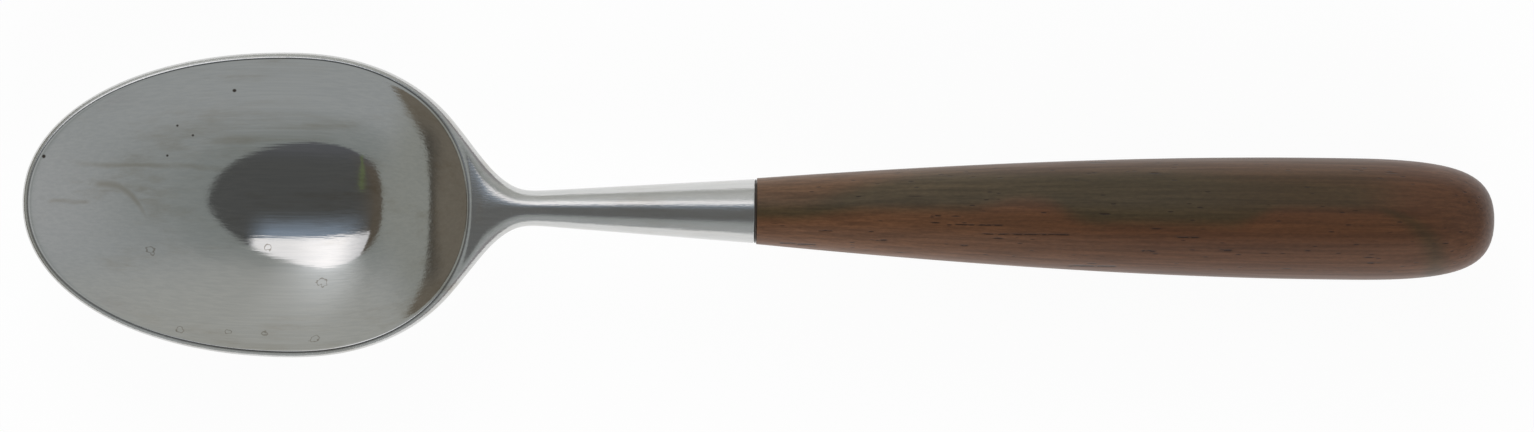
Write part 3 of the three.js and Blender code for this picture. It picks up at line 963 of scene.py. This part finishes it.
def window_glow(tree, x, y, z):
    """Share of the light below the window: strongest next to it, and wider further down."""
    out = calc(tree, "MAXIMUM", y, LEAST)
    along = calc(tree, "MULTIPLY_ADD", z, -GLOW_X, third=x)
    wide = calc(tree, "MULTIPLY_ADD", out, GLOW_SPREAD, third=calc(tree, "MULTIPLY", z, GLOW_HALF_WIDTH))
    aside = calc(tree, "ABSOLUTE", calc(tree, "DIVIDE", along, wide))
    steep = calc(tree, "DIVIDE", z, out)
    near = calc(tree, "MULTIPLY", calc(tree, "MULTIPLY", steep, steep), GLOW_REACH)
    near = calc(tree, "MULTIPLY", calc(tree, "MINIMUM", near, 1.0), step_between(tree, y, *GLOW_FADE))
    return calc(tree, "MULTIPLY", near, step_between(tree, aside, 0.0, 1.0, 1.0, 0.0))


def room_colour(tree, axes, away):
    """The grey room: darker high up and at both ends, lighter on the window's side."""
    x, y, z = axes.outputs["X"], axes.outputs["Y"], axes.outputs["Z"]
    colour = blend_colour(tree, step_between(tree, away, *HIGH_FADE), ROOM_HIGH, ROOM)
    colour = blend_colour(tree, step_between(tree, x, *NEAR_FADE), colour, ROOM_NEAR)
    colour = blend_colour(tree, step_between(tree, y, *LIT_FADE), colour, ROOM_LIT)
    colour = blend_colour(tree, step_between(tree, x, *DIM_FADE, 1.0, 0.0), colour, ROOM_DIM)
    low = step_between(tree, z, *END_HEIGHT, 1.0, 0.0)
    end = calc(tree, "MULTIPLY", step_between(tree, x, *END_FADE), low)
    colour = blend_colour(tree, end, colour, ROOM_END)
    return blend_colour(tree, window_glow(tree, x, y, z), colour, ROOM_GLOW)


def wall_colour(tree, axes, colour):
    """Adds the low wall, whose top swells on both sides of its middle and is darkest there."""
    side = axes.outputs["Y"]
    top = calc(tree, "MULTIPLY_ADD", calc(tree, "MULTIPLY", side, side), WALL_SWELL, third=WALL_HEIGHT)
    high = calc(tree, "DIVIDE", axes.outputs["Z"], top)
    aside = calc(tree, "ABSOLUTE", calc(tree, "SUBTRACT", side, WALL_MIDDLE))
    wide = calc(tree, "DIVIDE", aside, WALL_HALF_WIDTH)
    arch = calc(tree, "ADD", high, calc(tree, "POWER", wide, WALL_POWER))
    wall = step_between(tree, arch, 0.98, 1.02, 1.0, 0.0)
    wall = calc(tree, "MULTIPLY", wall, step_between(tree, axes.outputs["X"], -0.2, 0.0, 1.0, 0.0))
    middle = step_between(tree, wide, *WALL_ENDS, 1.0, 0.0)
    shade = calc(tree, "MULTIPLY", step_between(tree, arch, *WALL_DARK), middle)
    return blend_colour(tree, wall, colour, blend_colour(tree, shade, WALL, WALL_TOP))


def opening_colour(tree, x, y):
    """The dark opening, with a window along one side, daylight next to it and a green strip."""
    colour = blend_colour(tree, step_between(tree, x, *BROWN_FADE, 1.0, 0.0), OPENING, OPENING_BROWN)
    colour = blend_colour(tree, step_between(tree, y, *PALE_FADE, 1.0, 0.0), colour, OPENING_PALE)
    bend = calc(tree, "POWER", calc(tree, "ABSOLUTE", y), 3.0)
    across = calc(tree, "MULTIPLY_ADD", bend, LEAF_BEND, third=x)
    leaf = inside(tree, across, LEAF_X - LEAF_HALF_WIDTH, LEAF_X + LEAF_HALF_WIDTH, 0.02)
    leaf = calc(tree, "MULTIPLY", leaf, inside(tree, y, LEAF_FROM, LEAF_TO, 0.04))
    colour = blend_colour(tree, leaf, colour, LEAF)
    lean = calc(tree, "MAXIMUM", calc(tree, "SUBTRACT", WINDOW_MIDDLE, x), 0.0)
    height = calc(tree, "MULTIPLY_ADD", lean, WINDOW_TILT, third=y)
    daylight = step_between(tree, height, DAYLIGHT_FROM, WINDOW_FROM)
    beside = step_between(tree, x, WINDOW_LEFT - 0.11, WINDOW_LEFT + 0.05, 1.0, 0.0)
    beside = calc(tree, "MULTIPLY", beside, step_between(tree, x, WINDOW_RIGHT, WINDOW_RIGHT + DAYLIGHT_FADE))
    daylight = calc(tree, "MULTIPLY", daylight, beside)
    colour = blend_colour(tree, daylight, colour, WINDOW_SIDE)
    window = step_between(tree, height, WINDOW_FROM - 0.01, WINDOW_FROM + 0.01)
    window = calc(tree, "MULTIPLY", window, inside(tree, x, WINDOW_RIGHT, WINDOW_LEFT, 0.02))
    pane = blend_colour(tree, step_between(tree, x, *WINDOW_DIM_FADE), WINDOW_DIM, WINDOW)
    pane = blend_colour(tree, step_between(tree, x, *WINDOW_NEAR_FADE), pane, WINDOW_NEAR)
    return blend_colour(tree, window, colour, pane)


def world_colour(tree):
    """What the steel mirrors: a grey room, a dark opening overhead with a window in it, and a low wall."""
    axes = node(tree, "SeparateXYZ", {"Vector": node(tree, "TexCoord").outputs["Generated"]})
    up = calc(tree, "MAXIMUM", axes.outputs["Z"], LEAST)
    x = calc(tree, "DIVIDE", axes.outputs["X"], up)
    y = calc(tree, "DIVIDE", axes.outputs["Y"], up)
    away = from_opening(tree, x, y)
    opening = step_between(tree, away, 0.985, 1.015, 1.0, 0.0)
    colour = wall_colour(tree, axes, room_colour(tree, axes, away))
    colour = blend_colour(tree, opening, colour, opening_colour(tree, x, y))
    return blend_colour(tree, step_between(tree, axes.outputs["Z"], -0.1, -0.02), ROOM, colour)


def studio_world():
    world = bpy.data.worlds.new("studio")
    bpy.context.scene.world = world
    world.use_nodes = True
    tree = world.node_tree
    camera = node(tree, "LightPath").outputs["Is Camera Ray"]
    shown = blend_colour(tree, camera, world_colour(tree), WHITE)
    tree.links.new(shown, tree.nodes["Background"].inputs["Color"])


def floor_material():
    """Pale paper that stays white to the camera and in the steel, apart from a soft shadow."""
    material, tree, shader = new_material("pale_paper")
    shader.inputs["Base Color"].default_value = (0.9, 0.9, 0.9, 1)
    shader.inputs["Roughness"].default_value = 0.9
    shader.inputs["Specular IOR Level"].default_value = 0
    light = node(tree, "LightPath")
    seen = calc(tree, "MAXIMUM", light.outputs["Is Camera Ray"], light.outputs["Is Glossy Ray"])
    seen = calc(tree, "MAXIMUM", seen, light.outputs["Is Transmission Ray"])
    glow = node(tree, "Emission", {"Color": (1, 1, 1, 1)})
    share = calc(tree, "MULTIPLY", seen, 1 - FLOOR_SHADE)
    both = node(tree, "MixShader", {0: share, 1: shader.outputs[0], 2: glow.outputs[0]})
    tree.links.new(both.outputs[0], tree.nodes["Material Output"].inputs["Surface"])
    return material


def studio_floor():
    mesh = bmesh.new()
    bmesh.ops.create_grid(mesh, x_segments=1, y_segments=1, size=FLOOR_SIZE / 2)
    data = bpy.data.meshes.new("floor")
    mesh.to_mesh(data)
    mesh.free()
    data.materials.append(floor_material())
    floor = bpy.data.objects.new("floor", data)
    bpy.context.scene.collection.objects.link(floor)


def soft_lamp(name, place):
    """A wide lamp aimed at the spoon. It lights the spoon without showing in the steel."""
    light = bpy.data.lights.new(name, "AREA")
    light.shape = "DISK"
    light.size = LAMP_SIZE
    light.energy = LAMP_WATTS
    lamp = bpy.data.objects.new(name, light)
    lamp.location = place
    lamp.rotation_euler = Vector(place).to_track_quat("Z", "Y").to_euler()
    lamp.visible_glossy = False
    bpy.context.scene.collection.objects.link(lamp)


def photo_camera():
    """Straight above the spoon, rolled as the photograph is."""
    data = bpy.data.cameras.new("camera")
    data.sensor_width = SENSOR
    data.lens = LENS
    camera = bpy.data.objects.new("camera", data)
    camera.location = PHOTO_CENTRE + Vector((0, 0, PHOTO_FIELD * LENS / SENSOR))
    camera.rotation_euler = (0, 0, PHOTO_ROLL)
    bpy.context.scene.collection.objects.link(camera)
    bpy.context.scene.camera = camera


steel_head(polished_steel())
wooden_handle(rosewood())
refinish("tang", drawn_rod())
refinish("tang_adhesive", set_resin())

studio_world()
studio_floor()
soft_lamp("key", KEY_PLACE)
soft_lamp("fill", FILL_PLACE)
photo_camera()
bpy.context.scene.view_settings.view_transform = "Standard"
